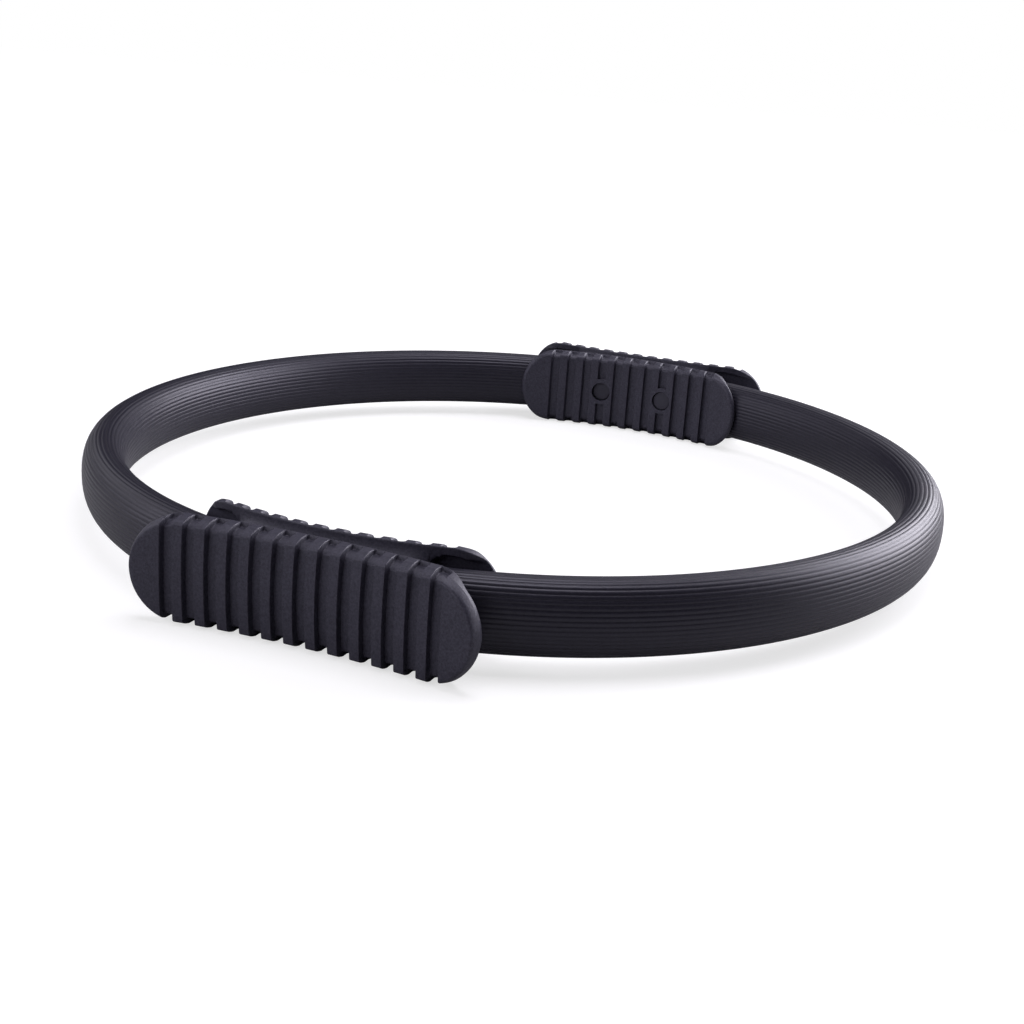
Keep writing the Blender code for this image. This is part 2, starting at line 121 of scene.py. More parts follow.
# Where the sections along a pad are: near the middle of a groove's wall, in half widths of the wall
FACE_WALL_SECTIONS = (-1.3, -0.8, -0.4, 0.0, 0.4, 0.8, 1.3)
RIM_WALL_SECTIONS = (-1.0, -0.75, 0.75, 1.0)
LAST_WALL_SECTION = 1.1
FLAT_SECTIONS = (-0.6, 0.0, 0.6)  # on a floor or a rib, in shares of its half width between the walls

# How many sections there are round each lobe, lip and mouth's corner, and where the core ends
LOBE_SECTIONS = 48
LIP_SECTIONS = 12
CORE_END_SECTIONS = 7
CORNER_SECTIONS = 10
CORNER_START = 0.25  # radians round the mouth's corner, past the core's end
SECTION_DECIMALS = 7  # of the metre, so that sections at the same place become one

# Fastenings
SCREW_GROOVE = 2  # the screws sit in the second groove each side of the middle one
SCREW_AT = SCREW_GROOVE * GROOVE_PITCH
LAND_RADIUS = 6.9 * MM  # of the plain land round a screw's recess
RECESS_RADIUS = 4.8 * MM
SEAT_DISTANCE = 164.6 * MM  # of the screw head's seat, from the ring's middle
SHANK_HOLE_RADIUS = 2.8 * MM
INSERT_HOLE_RADIUS = 4.5 * MM
INSERT_HOLE_END = 179.0 * MM  # from the ring's middle
CAP_RADIUS = 4.5 * MM
CAP_BACK = 3.1 * MM  # behind the face of the inner half
CAP_SINKS = {"left": 1.9 * MM, "right": 0.9 * MM}  # the left caps are pressed in deeper
CAP_CROWN = 0.12 * MM
CAP_ROUNDING = 0.35 * MM
CAP_FACE_POINTS = 12
CAP_EDGE_POINTS = 7
CAP_FACE_START = 0.002  # share of the face's radius that its flat middle takes
CAP_BACK_START = 0.01 * MM  # radius of the flat middle of its back
TURNED_POINTS = 64  # round a hole or a cap

# Angles in degrees, past which an edge is shaded sharp
SHARP_ANGLE = 40.0
SLEEVE_SHARP_ANGLE = 60.0

# Finishes
GLOSS_TINT = (0.90, 0.88, 1.0)
RUBBER_IOR = 1.45  # of foam and rubber
LAMINATE_IOR = 1.5

# Camera: round the ring's middle from the front and up, in metres and radians, and its lens in millimetres
CAMERA_AZIMUTH = math.radians(21.5)
CAMERA_ELEVATION = math.radians(16.15)
CAMERA_DISTANCE = 0.6445
CAMERA_ROLL = math.radians(3.904)
CAMERA_PAN = -0.0003
CAMERA_TILT = 0.0298
CAMERA_LENS = 53.0
CAMERA_SENSOR = 36.0
CAMERA_CLIP_START = 0.01

# Studio: where each softbox is, in metres to the right, away from the camera and up, and its power in watts
LIGHT_TINT = (0.95, 0.93, 1.0)
SOFTBOX_SIZE = 0.8
SOFTBOXES = {
    "right_softbox": ((1.1, 0.2, 0.35), 8.0),
    "right_rear_softbox": ((0.95, 0.75, 0.55), 14.0),
    "rear_softbox": ((0.25, 1.1, 0.75), 1.2),
    "left_rear_softbox": ((-0.9, 0.7, 0.6), 1.5),
    "left_softbox": ((-1.1, -0.1, 0.5), 3.8),
    "left_front_softbox": ((-0.8, -0.85, 0.6), 4.8),
    "top_softbox": ((0.0, 0.0, 1.3), 10.0),
    "top_right_softbox": ((0.9, 0.3, 0.95), 3.2),
}
AMBIENT = 0.01

# Floor: its glow under the ring, which leaves a faint shadow there, and how far out it rises to white
FLOOR_CORNERS = ((-1, -1), (1, -1), (1, 1), (-1, 1))
FLOOR_REACH = 4.0
FLOOR_GREY = (0.45, 0.45, 0.45)
FLOOR_ROUGHNESS = 0.9
FLOOR_GLOW = 0.64
GLOW_RISES_FROM = 0.2
GLOW_RISES_TO = 0.8

RING_MIDDLE = Vector((0.0, 0.0, PAD_HALF_HEIGHT))


def smooth_step(t):
    """0 up to t = 0, 1 from t = 1, and the cubic 3tt - 2ttt between."""
    t = np.clip(t, 0.0, 1.0)
    return t * t * (3.0 - 2.0 * t)


def surface(name, rows, wrap_rows=False):
    """A closed mesh through rows of points, shape (rows, points, 3). Each row is a closed loop.

    The rows wrap round into a tube ring, or else the first and last row each get a flat cap. Faces whose
    volume comes out negative point inwards, and are turned round.
    """
    count, points = rows.shape[:2]
    index = np.arange(count * points).reshape(count, points)
    following = np.roll(index, -1, axis=0) if wrap_rows else index[1:]
    first = index if wrap_rows else index[:-1]
    quads = np.stack(
        [first, np.roll(first, -1, axis=1), np.roll(following, -1, axis=1), following], axis=-1
    ).reshape(-1, 4)
    co = rows.reshape(-1, 3)
    a, b, c, d = (co[quads[:, i]] for i in range(4))
    volume = (np.cross(b - a, c - a) * a).sum() + (np.cross(c - a, d - a) * a).sum()
    if volume < 0:
        quads = quads[:, ::-1]
    loops = quads.reshape(-1)
    starts = np.arange(0, len(loops), 4)
    if not wrap_rows:
        caps = [index[0], index[-1][::-1]] if volume < 0 else [index[0][::-1], index[-1]]
        starts = np.concatenate([starts, [len(loops), len(loops) + points]])
        loops = np.concatenate([loops, *caps])
    mesh = bpy.data.meshes.new(name)
    mesh.vertices.add(len(co))
    mesh.vertices.foreach_set("co", co.astype(np.float32).reshape(-1))
    mesh.loops.add(len(loops))
    mesh.loops.foreach_set("vertex_index", loops.astype(np.int32))
    mesh.polygons.add(len(starts))
    mesh.polygons.foreach_set("loop_start", starts.astype(np.int32))
    mesh.update(calc_edges=True)
    mesh.validate()
    return mesh


def shade(mesh, sharp_angle=SHARP_ANGLE):
    """Smooth shading, but for the edges that are sharper than an angle."""
    mesh.shade_smooth()
    mesh.set_sharp_from_angle(angle=math.radians(sharp_angle))
    return mesh


def add_piece(name, mesh):
    """An object at the origin, unturned, with its place in its mesh."""
    piece = bpy.data.objects.new(name, mesh)
    bpy.context.scene.collection.objects.link(piece)
    return piece


def cut(mesh, *cutters):
    """The mesh with each cutter's mesh taken out of it."""
    piece = add_piece("blank", mesh)
    helpers = [add_piece("cutter", cutter) for cutter in cutters]
    for helper in helpers:
        modifier = piece.modifiers.new("cut", "BOOLEAN")
        modifier.operation = "DIFFERENCE"
        modifier.solver = "EXACT"
        modifier.object = helper
    bpy.context.view_layer.update()
    graph = bpy.context.evaluated_depsgraph_get()
    made = bpy.data.meshes.new_from_object(piece.evaluated_get(graph))
    for obj in [piece, *helpers]:
        bpy.data.objects.remove(obj)
    return made


def turned_out(mesh, along):
    """Turns a mesh made round Z so that its Z axis points out from the ring's middle through x = along."""
    angle = math.asin(along / INNER_FACE_RADIUS)
    mesh.transform(Matrix.Rotation(-angle, 4, "Z") @ Matrix.Rotation(-math.pi / 2, 4, "X"))
    return mesh


def turned(name, outline):
    """An outline of (radius, height) points carried round Z. Its first and last radius are not zero."""
    turn = 2 * np.pi * np.arange(TURNED_POINTS) / TURNED_POINTS
    radius, height = np.array(outline, float).T
    x = radius[:, None] * np.cos(turn)
    y = radius[:, None] * np.sin(turn)
    z = np.broadcast_to(height[:, None], x.shape)
    return surface(name, np.stack([x, y, z], axis=-1))


class Pad:
    """The form of one half of a grip: sections with a face in front, and a core or a plate behind."""

    def __init__(
        self, outward, grooves, straight, lobe_length, face, dish, crown,
        edge_drop, edge_run, rim, lobe, rim_wall,
    ):
        self.outward = outward  # 1 on the outer half, -1 on the inner half
        self.grooves = grooves
        self.straight = straight  # half the length between the lobes
        self.lobe_length = lobe_length
        self.half_length = straight + lobe_length
        self.face_at = face  # from the ring's middle
        self.dish = dish  # how far the face's ends rise
        self.crown = crown  # how far the face falls at mid-length from its middle to its edges
        self.edge_drop = edge_drop  # how far the rounded edge falls
        self.edge_run = edge_run  # and over what width
        self.rim = rim  # thickness behind the edges of the core
        self.lobe = lobe  # thickness of a lobe
        self.rim_wall = rim_wall  # half the width of a groove's wall on the rim

    def face(self, x, z):
        """The face before its edge is rounded.

        The outer half's is a parabola along x, less a parabola along z that fades out towards its ends. The
        inner half's is a cylinder round the ring's middle.
        """
        if self.outward > 0:
            along = (x / self.half_length) ** 2
            across = (z / PAD_HALF_HEIGHT) ** 2
            return self.face_at + self.dish * along - self.crown * (1 - along) * across
        return np.sqrt(self.face_at**2 - x**2) + 0 * z

    def past(self, x):
        """How far x is into a lobe, as a share of the lobe's length."""
        return np.maximum(np.abs(x) - self.straight, 0.0) / self.lobe_length

    def outline(self, x):
        """Half the height at x: straight edges, then a quarter ellipse over each lobe."""
        return PAD_HALF_HEIGHT * np.sqrt(np.maximum(1 - self.past(x) ** 2, 0.0))

    def fall(self, x, z):
        """How far the rounded edge falls behind the face: a power of how near a point is to the outline.

        The whole fall is the edge's drop, and on a lobe at most a share of its thickness.
        """
        inset = (1 - np.hypot(self.past(x), z / PAD_HALF_HEIGHT)) * PAD_HALF_HEIGHT
        near = np.clip(1 - inset / self.edge_run, 0.0, 1.0)
        on_lobe = smooth_step((np.abs(x) - CORE_HALF_LENGTH) / LOBE_EDGE_CHANGE)
        lobe_drop = min(self.edge_drop, LOBE_EDGE_SHARE * self.lobe)
        return (self.edge_drop + (lobe_drop - self.edge_drop) * on_lobe) * near**EDGE_EXPONENT

    def groove_mask(self, x, z, behind, end):
        """1 in a groove and 0 on the ribs, with a smooth step over each wall, wider on the rim.

        behind is each point's distance behind the face, and end is where the groove ends behind it, over the
        rim. The end is a superellipse, and round a screw the groove stops short of a round land.
        """
        last = (self.grooves - 1) / 2
        nearest = np.clip(np.round(x / GROOVE_PITCH), -last, last)
        off = np.abs(x - nearest * GROOVE_PITCH)
        into_end = np.maximum(behind - (end - GROOVE_END), 0.0)
        power = GROOVE_END_EXPONENT
        share = (off / GROOVE_HALF_WIDTH) ** power + (into_end / GROOVE_END) ** power
        inside = (1 - share ** (1 / power)) * GROOVE_HALF_WIDTH
        wall = WALL_HALF_WIDTH + (self.rim_wall - WALL_HALF_WIDTH) * smooth_step(behind / self.edge_drop)
        mask = smooth_step(inside / (2 * wall) + 0.5)
        if self.outward < 0:
            from_screw = np.hypot(np.abs(x) - SCREW_AT, z)
            clear = smooth_step((from_screw - LAND_RADIUS) / (2 * WALL_HALF_WIDTH) + 0.5)
            mask = np.where(np.abs(nearest) == SCREW_GROOVE, mask * clear, mask)
        return mask

    def section(self, x, shares):
        """(y, z) of the section above the mid-plane at each x, from the middle of the face round to the back.

        The ribs' level is the face, its rounded edge, and the rim with a quarter circle at its back. A
        groove's floor is that level moved in by the groove's depth, which shrinks evenly to nothing where the
        groove ends, and down by its depth on the rim. shares are where the points on the face's flat part
        are, from 0 in its middle to 1 at its rounded edge.
        """
        top = self.outline(x)
        start = 1 - self.edge_run / PAD_HALF_HEIGHT
        bend = start + (1 - start) * np.sin(np.linspace(0.0, np.pi / 2, EDGE_POINTS))
        z = top * np.concatenate([shares * start, bend])
        behind = self.fall(x, z)
        rim_share = smooth_step((top - TAPER_END) / (PAD_HALF_HEIGHT - TAPER_END))
        thickness = self.lobe + (self.rim - self.lobe) * rim_share
        across = np.linspace(0.0, 1.0, RIM_POINTS + 1)[1:]
        rim_behind = behind[:, -1:] + (thickness - behind[:, -1:]) * across
        from_back = np.clip(1 - (thickness - rim_behind) / RIM_FILLET, 0.0, 1.0)
        rim_z = top - RIM_FILLET * (1 - np.sqrt(1 - from_back**2))
        behind = np.concatenate([behind, rim_behind], axis=1)
        z = np.concatenate([z, rim_z], axis=1)
        end = thickness - GROOVE_LAND
        floor_behind = behind + GROOVE_DEPTH * np.maximum(1 - behind / end, 0.0)
        floor_z = z * (1 - RIM_GROOVE_DEPTH / np.maximum(top, RIM_GROOVE_DEPTH))
        mask = self.groove_mask(x, z, behind, end)
        level = self.face(x, z)
        behind = behind + (floor_behind - behind) * mask
        front_z = z + (floor_z - z) * mask
        front_y = level - self.outward * behind
        rim_back = self.face(x, top) - self.outward * thickness
        before_mouth = 1 - smooth_step((np.abs(x) - MOUTH_START) / (2 * CORE_END_STEP) + 0.5)
        core_y, core_z, plate_y, plate_z = self.back(x, rim_back, front_z[:, -1:], rim_share)
        back_y = core_y * before_mouth + plate_y * (1 - before_mouth)
        back_z = core_z * before_mouth + plate_z * (1 - before_mouth)
        return np.concatenate([front_y, back_y], axis=1), np.concatenate([front_z, back_z], axis=1)

    def back(self, x, rim_back, top, rim_share):
        """The back of the section, as a core's and as a plate's.

        The core's is a quarter ellipse for the cove, the saddle, which falls by another one to its lip, then
        the parting surface and the band's slot, both round the ring. The plate's follows the face, at the
        rim's thickness near the top and at the lobe's below: it is the mouth's wall, and then the lobe.
        """
        turn = np.linspace(0.0, np.pi / 2, COVE_POINTS + 1)[1:]
        into_lip = np.clip((np.abs(x) - MOUTH_START) / LIP_LENGTH + 1, 0.0, 1.0)
        saddle = SADDLE_HALF_HEIGHT - LIP_FALL * (1 - np.sqrt(1 - into_lip**2))
        cove_y = rim_back - self.outward * COVE_WIDTH * (1 - np.cos(turn))
        cove_z = top - (top - saddle) * np.sin(turn)
        parting = np.sqrt(BAND_RADIUS**2 - x**2) + self.outward * PARTING_GAP / 2
        slot_radius = BAND_RADIUS + self.outward * (BAND_THICKNESS / 2 + SLOT_GAP)
        slot = np.sqrt(slot_radius**2 - x**2)
        slot_top = BAND_HEIGHT / 2 + SLOT_GAP
        edges_y = [parting, parting, slot, slot, slot]
        edges_z = [saddle, slot_top, slot_top, slot_top / 2, 0.0]
        core_y = np.concatenate([cove_y] + edges_y, axis=1)
        core_z = np.concatenate([cove_z] + [z + 0 * x for z in edges_z], axis=1)
        down = np.cos(np.linspace(0.0, np.pi / 2, core_z.shape[1] + 1)[1:])
        plate_z = top * down
        corner = np.clip(1 - (np.abs(x) - MOUTH_START) / MOUTH_ROUNDING, 0.0, 1.0)
        rim_back_height = RIM_BACK_HEIGHT * rim_share + MOUTH_ROUNDING * (1 - np.sqrt(1 - corner**2))
        over_rim = 1 - smooth_step((top - plate_z - rim_back_height) / UNDERCUT_HEIGHT)
        plate = self.lobe + (self.rim - self.lobe) * rim_share * over_rim
        plate_y = self.face(x, plate_z) - self.outward * plate
        return core_y, core_z, plate_y, plate_z

    def stations(self):
        """x of the sections: close together on walls and lips, and evenly round each lobe's outline."""
        face_wall = WALL_HALF_WIDTH * np.array(FACE_WALL_SECTIONS)
        rim_wall = self.rim_wall * np.array(RIM_WALL_SECTIONS)
        near_wall = np.concatenate([face_wall, rim_wall])
        pitches = np.arange((self.grooves + 1) // 2) * GROOVE_PITCH
        walls = [pitches + side * GROOVE_HALF_WIDTH + off for side in (-1, 1) for off in near_wall]
        flat = (GROOVE_HALF_WIDTH - self.rim_wall) * np.array(FLAT_SECTIONS)
        floors = [pitches + off for off in flat]
        ribs = [pitches + GROOVE_PITCH / 2 + off for off in flat]
        past_last = pitches[-1] + GROOVE_HALF_WIDTH + LAST_WALL_SECTION * self.rim_wall
        straight = np.concatenate(walls + floors + ribs)
        straight = straight[(straight > 0) & (straight < past_last)]
        first = math.asin((past_last - self.straight) / self.lobe_length)
        round_lobe = np.sin(np.linspace(first, LOBE_END_ANGLE, LOBE_SECTIONS))
        lobe = self.straight + self.lobe_length * round_lobe
        core_end = MOUTH_START + CORE_END_STEP * np.linspace(-1.0, 1.0, CORE_END_SECTIONS)
        round_lip = np.sin(np.linspace(0.0, np.pi / 2, LIP_SECTIONS))
        lip = MOUTH_START - LIP_LENGTH * (1 - round_lip)
        round_corner = np.cos(np.linspace(CORNER_START, np.pi / 2, CORNER_SECTIONS))
        corner = MOUTH_START + MOUTH_ROUNDING * (1 - round_corner)
        right = np.concatenate([straight, lobe, core_end, lip, corner])
        right = np.unique(np.round(right, SECTION_DECIMALS))
        return np.concatenate([-right[::-1], [0.0], right])

    def mesh(self, name, shares):
        """The closed solid: each section and its mirror image below the mid-plane."""
        x = self.stations()[:, None]
        y, z = self.section(x, shares)
        y = np.concatenate([y, y[:, -2:0:-1]], axis=1)
        z = np.concatenate([z, -z[:, -2:0:-1]], axis=1)
        return surface(name, np.stack([x + 0 * y, y, z], axis=-1))


OUTER_PAD = Pad(
    outward=1,
    grooves=13,
    straight=46.0 * MM,
    lobe_length=18.0 * MM,
    face=181.3 * MM,
    dish=4.0 * MM,
    crown=1.6 * MM,
    edge_drop=4.2 * MM,
    edge_run=2.1 * MM,
    rim=8.2 * MM,
    lobe=5.2 * MM,
    rim_wall=0.32 * MM,
)
INNER_PAD = Pad(
    outward=-1,
    grooves=11,
    straight=42.0 * MM,
    lobe_length=15.5 * MM,
    face=INNER_FACE_RADIUS,
    dish=0.0,
    crown=0.0,
    edge_drop=3.6 * MM,
    edge_run=2.6 * MM,
    rim=6.2 * MM,
    lobe=2.7 * MM,
    rim_wall=0.65 * MM,
)


def outer_half_mesh():
    """The outer pad, with a round hole for each insert that opens into the band's slot."""
    blank = OUTER_PAD.mesh("outer_half", np.linspace(0.0, 1.0, OUTER_FACE_POINTS, endpoint=False))
    low, high = BAND_RADIUS - SLEEVE_DEPTH / 2, INSERT_HOLE_END
    holes = [
        turned_out(turned("hole", [(INSERT_HOLE_RADIUS, low), (INSERT_HOLE_RADIUS, high)]), along)
        for along in (-SCREW_AT, SCREW_AT)
    ]
    return shade(cut(blank, *holes))


def inner_half_mesh():
    """The inner pad, with a stepped hole for each screw: the recess of its cap and head, then its shank's."""
    even = np.linspace(0.0, 1.0, INNER_FACE_POINTS, endpoint=False)
    land_edge = LAND_RADIUS + WALL_HALF_WIDTH * np.linspace(*LAND_EDGE_SPREAD, LAND_EDGE_POINTS)
    flat = PAD_HALF_HEIGHT - INNER_PAD.edge_run
    blank = INNER_PAD.mesh("inner_half", np.unique(np.concatenate([even, land_edge / flat])))
    outline = [
        (RECESS_RADIUS, INNER_FACE_RADIUS - SLEEVE_DEPTH),
        (RECESS_RADIUS, SEAT_DISTANCE),
        (SHANK_HOLE_RADIUS, SEAT_DISTANCE),
        (SHANK_HOLE_RADIUS, BAND_RADIUS + SLEEVE_DEPTH / 2),
    ]
    holes = [turned_out(turned("hole", outline), along) for along in (-SCREW_AT, SCREW_AT)]
    return shade(cut(blank, *holes))


def cap_mesh(along, sink):
    """A blank disc: a face crowned as a parabola, a quarter circle round its edge and a straight side."""
    low = INNER_FACE_RADIUS + sink
    share = np.linspace(CAP_FACE_START, 1.0, CAP_FACE_POINTS)
    reach = share * (CAP_RADIUS - CAP_ROUNDING)
    face = list(zip(reach, low - CAP_CROWN * (1 - share**2)))
    turn = np.linspace(0.0, np.pi / 2, CAP_EDGE_POINTS)[1:]
    edge_reach = CAP_RADIUS - CAP_ROUNDING * (1 - np.sin(turn))
    edge = list(zip(edge_reach, low + CAP_ROUNDING * (1 - np.cos(turn))))
    end = INNER_FACE_RADIUS + CAP_BACK
    back = [(CAP_RADIUS, end), (CAP_BACK_START, end)]
    return shade(turned_out(turned("screw_cap", face + edge + back), along))


def superellipse(half_depth, half_height, exponent, turn):
    """Points of |x/a|^n + |y/b|^n = 1."""
    power = 2 / exponent
    across = half_depth * np.sign(np.cos(turn)) * np.abs(np.cos(turn)) ** power
    up = half_height * np.sign(np.sin(turn)) * np.abs(np.sin(turn)) ** power
    return across, up


def ribbed_section():
    """The sleeve's section: a superellipse whose fine ribs are evenly spaced along its outline.

    A rib is the sine of its share of the pitch, raised to its sharpness, and the outline moves in where it is
    lower than the rib's height. Returns (across, up, share of the rib's height).
    """
    turn = np.linspace(0.0, 2 * np.pi, OUTLINE_SAMPLES)
    across, up = superellipse(SLEEVE_DEPTH / 2, SLEEVE_HEIGHT / 2, SLEEVE_EXPONENT, turn)
    run = np.concatenate([[0.0], np.cumsum(np.hypot(np.diff(across), np.diff(up)))])
    share = np.arange(RIB_COUNT * POINTS_PER_RIB) / (RIB_COUNT * POINTS_PER_RIB)
    across = np.interp(share * run[-1], run, across)
    up = np.interp(share * run[-1], run, up)
    along = np.stack([np.roll(across, -1) - np.roll(across, 1), np.roll(up, -1) - np.roll(up, 1)])
    along /= np.hypot(*along)
    rib = np.abs(np.sin(np.pi * share * RIB_COUNT)) ** RIB_SHARPNESS
    sink = RIB_HEIGHT * (1 - rib)
    return across - sink * along[1], up + sink * along[0], rib


def hoop_rows(across, up, start, steps):
    """A section carried round the ring on a circle, from the plane x = start to the ring's side at +X."""
    radius = BAND_RADIUS + across
    share = np.linspace(1.0, 0.0, steps)[:, None]
    turn = share * np.arccos(start / radius)
    return np.stack([radius * np.cos(turn), -radius * np.sin(turn), up + 0 * turn], axis=-1)


def quarter_sleeve_mesh():
    """The front right quarter of the ribbed sleeve, with the channel that the band lies in."""
    across, up, rib = ribbed_section()
    outside = hoop_rows(across, up, SLEEVE_START, SLEEVE_STEPS)
    turn = 2 * np.pi * np.arange(len(across)) / len(across)
    half_depth, half_height = BAND_THICKNESS / 2 + CHANNEL_GAP, BAND_HEIGHT / 2 + CHANNEL_GAP
    channel = superellipse(half_depth, half_height, CHANNEL_EXPONENT, turn)
    inside = hoop_rows(*channel, SLEEVE_START, SLEEVE_STEPS)
    mesh = surface("quarter_sleeve", np.concatenate([outside, inside[::-1]]), wrap_rows=True)
    # Each point's share of the rib's height, which the foam's colour uses to paint shade into the valleys.
    height = np.concatenate([np.tile(rib, SLEEVE_STEPS), np.zeros(len(across) * SLEEVE_STEPS)])
    mesh.attributes.new("rib", "FLOAT", "POINT").data.foreach_set("value", height.astype(np.float32))
    return shade(mesh, SLEEVE_SHARP_ANGLE)


def quarter_band_mesh():
    """The front right quarter of the spring bands, with its screw hole."""
    turn = 2 * np.pi * np.arange(BAND_POINTS) / BAND_POINTS
    across, up = superellipse(BAND_THICKNESS / 2, BAND_HEIGHT / 2, BAND_EXPONENT, turn)
    blank = surface("quarter_band", hoop_rows(across, up, BAND_END, BAND_STEPS))
    low, high = BAND_RADIUS - SLEEVE_DEPTH / 2, BAND_RADIUS + SLEEVE_DEPTH / 2
    hole = turned_out(turned("hole", [(SHANK_HOLE_RADIUS, low), (SHANK_HOLE_RADIUS, high)]), SCREW_AT)
    hole.transform(Matrix.Scale(-1, 4, (0, 1, 0)))
    hole.flip_normals()
    return shade(cut(blank, hole))


def placed(mesh, name, flips=(1, 1), turn=0.0):
    """A copy of a mesh at the ring's mid-plane, mirrored in X or Y, or turned round Z."""
    made = mesh.copy()
    made.name = name
    mirror = Matrix.Diagonal((*flips, 1, 1))
    made.transform(Matrix.Translation(RING_MIDDLE) @ Matrix.Rotation(turn, 4, "Z") @ mirror)
    if flips[0] * flips[1] < 0:
        made.flip_normals()
    return made


class Value:
    """A socket of a finish. Python's operators on it add Math nodes."""

    def __init__(self, finish, socket):
        self.finish = finish
        self.socket = socket

    def math(self, operation, first, second):
        return self.finish.add("ShaderNodeMath", {"operation": operation}, {0: first, 1: second})

    def __add__(self, other):
        return self.math("ADD", self, other)

    def __sub__(self, other):
        return self.math("SUBTRACT", self, other)

    def __rsub__(self, other):
        return self.math("SUBTRACT", other, self)

    def __mul__(self, other):
        return self.math("MULTIPLY", self, other)

    __radd__ = __add__
    __rmul__ = __mul__


class Finish:
    """A material with a Principled BSDF, and the nodes that drive it. Patterns are on Object coordinates."""

    def __init__(self, name):
        self.material = bpy.data.materials.new(name)
        self.material.use_nodes = True
        self.tree = self.material.node_tree
        self.shader = self.tree.nodes["Principled BSDF"]

    def add(self, kind, settings=None, inputs=None, output=0):
        """A new node with these settings and inputs, as the Value of one of its outputs."""
        node = self.tree.nodes.new(kind)
        for name, value in (settings or {}).items():
            setattr(node, name, value)
        for name, value in (inputs or {}).items():
            self.put(node.inputs[name], value)
        return Value(self, node.outputs[output])

    def put(self, socket, value):
        """Links a Value to a socket, or sets anything else on it."""
        if isinstance(value, Value):
            self.tree.links.new(value.socket, socket)
        else:
            socket.default_value = value

    def set(self, sockets):
        """Puts values on the shader's sockets."""
        for name, value in sockets.items():
            self.put(self.shader.inputs[name], value)

    def place(self):
        return self.add("ShaderNodeTexCoord", output="Object")

    def noise(self, scale, detail, roughness=0.5, stretch=(1.0, 1.0, 1.0)):
        """Noise of this many features a metre, about 0.5 on average. stretch scales its coordinates."""
        place = self.add("ShaderNodeMapping", inputs={"Vector": self.place(), "Scale": stretch})
        inputs = {"Vector": place, "Scale": scale, "Detail": detail, "Roughness": roughness}
        return self.add("ShaderNodeTexNoise", inputs=inputs)

    def between(self, factor, dark, pale):
        """A colour between dark and pale."""
        inputs = {0: factor, 6: (*dark, 1.0), 7: (*pale, 1.0)}
        return self.add("ShaderNodeMix", {"data_type": "RGBA"}, inputs, output=2)

    def scaled(self, colour, factor):
        """A colour times a value."""
        inputs = {0: 1.0, 6: colour, 7: self.grey(factor)}
        return self.add("ShaderNodeMix", {"data_type": "RGBA", "blend_type": "MULTIPLY"}, inputs, output=2)

    def grey(self, value):
        """A value as a grey colour."""
        return self.add("ShaderNodeCombineColor", inputs={0: value, 1: value, 2: value})

    def attribute(self, name):
        return self.add("ShaderNodeAttribute", {"attribute_name": name}, output="Fac")

    def tint_gloss(self):
        """The gloss takes the violet cast of the studio too."""
        self.set({"Specular Tint": (*GLOSS_TINT, 1.0)})

    def bump(self, height, depth, strength):
        """Fine relief: a pattern of heights, how deep it is and how strongly it shows."""
        inputs = {"Height": height, "Distance": depth, "Strength": strength}
        self.put(self.shader.inputs["Normal"], self.add("ShaderNodeBump", inputs=inputs))


def foam_finish():
    """Closed-cell foam: charcoal with a violet cast, finely pitted, duller in the valleys, and darker there
    by painted shade.
    """
    foam = Finish("ribbed_foam")
    mottle = foam.noise(60.0, detail=3.0)
    cells = foam.noise(1500.0, detail=4.0, roughness=0.7)
    dust = foam.noise(450.0, detail=4.0, roughness=0.6)
    rib = foam.attribute("rib")
    speckle = (cells - 0.5) * 5.0 + 0.5
    shade_of_foam = mottle * 0.5 + speckle * 0.5
    colour = foam.between(shade_of_foam, dark=(0.0100, 0.0094, 0.0160), pale=(0.0200, 0.0188, 0.0290))
    # The colour is darkened in the ribs' valleys by painted shade, and varies at random with the dust.
    foam.set({"Base Color": foam.scaled(colour, rib * 0.25 + dust * 0.3 + 0.6)})
    foam.set({"Roughness": 0.43 - rib * 0.06 + (cells - 0.5) * 0.2, "IOR": RUBBER_IOR})
    foam.tint_gloss()
    foam.bump(cells * 0.7 + dust * 0.5, depth=0.06 * MM, strength=0.8)
    return foam.material


def grip_finish():
    """Moulded rubber: charcoal, with a fine spark-eroded grain and a faint polish where hands rub it."""
    grip = Finish("moulded_rubber")
    mottle = grip.noise(90.0, detail=3.0)
    grain = grip.noise(1300.0, detail=4.0, roughness=0.7)
    rubbed = grip.noise(35.0, detail=2.0)
    speckle = (grain - 0.5) * 6.0 + 0.5
    shade_of_rubber = mottle * 0.4 + speckle * 0.6
    colour = grip.between(shade_of_rubber, dark=(0.0200, 0.0191, 0.0295), pale=(0.0440, 0.0424, 0.0605))
    grip.set({"Base Color": colour})
    grip.set({"Roughness": 0.51 + (grain - 0.5) * 0.25 - rubbed * 0.08, "IOR": RUBBER_IOR})
    grip.tint_gloss()
    grip.bump(grain, depth=0.09 * MM, strength=0.9)
    return grip.material


def cap_finish():
    """The caps' rubber: a slightly darker charcoal than the grips', with a finer grain."""
    cap = Finish("cap_rubber")
    grain = cap.noise(3000.0, detail=3.0, roughness=0.6)
    mottle = cap.noise(260.0, detail=2.0)
    shade_of_cap = mottle * 0.5 + grain * 0.5
    colour = cap.between(shade_of_cap, dark=(0.0170, 0.0163, 0.0250), pale=(0.0360, 0.0348, 0.0480))
    cap.set({"Base Color": colour})
    cap.set({"Roughness": 0.52 + (grain - 0.5) * 0.2, "IOR": RUBBER_IOR})
    cap.tint_gloss()
    cap.bump(grain, depth=0.04 * MM, strength=0.8)
    return cap.material


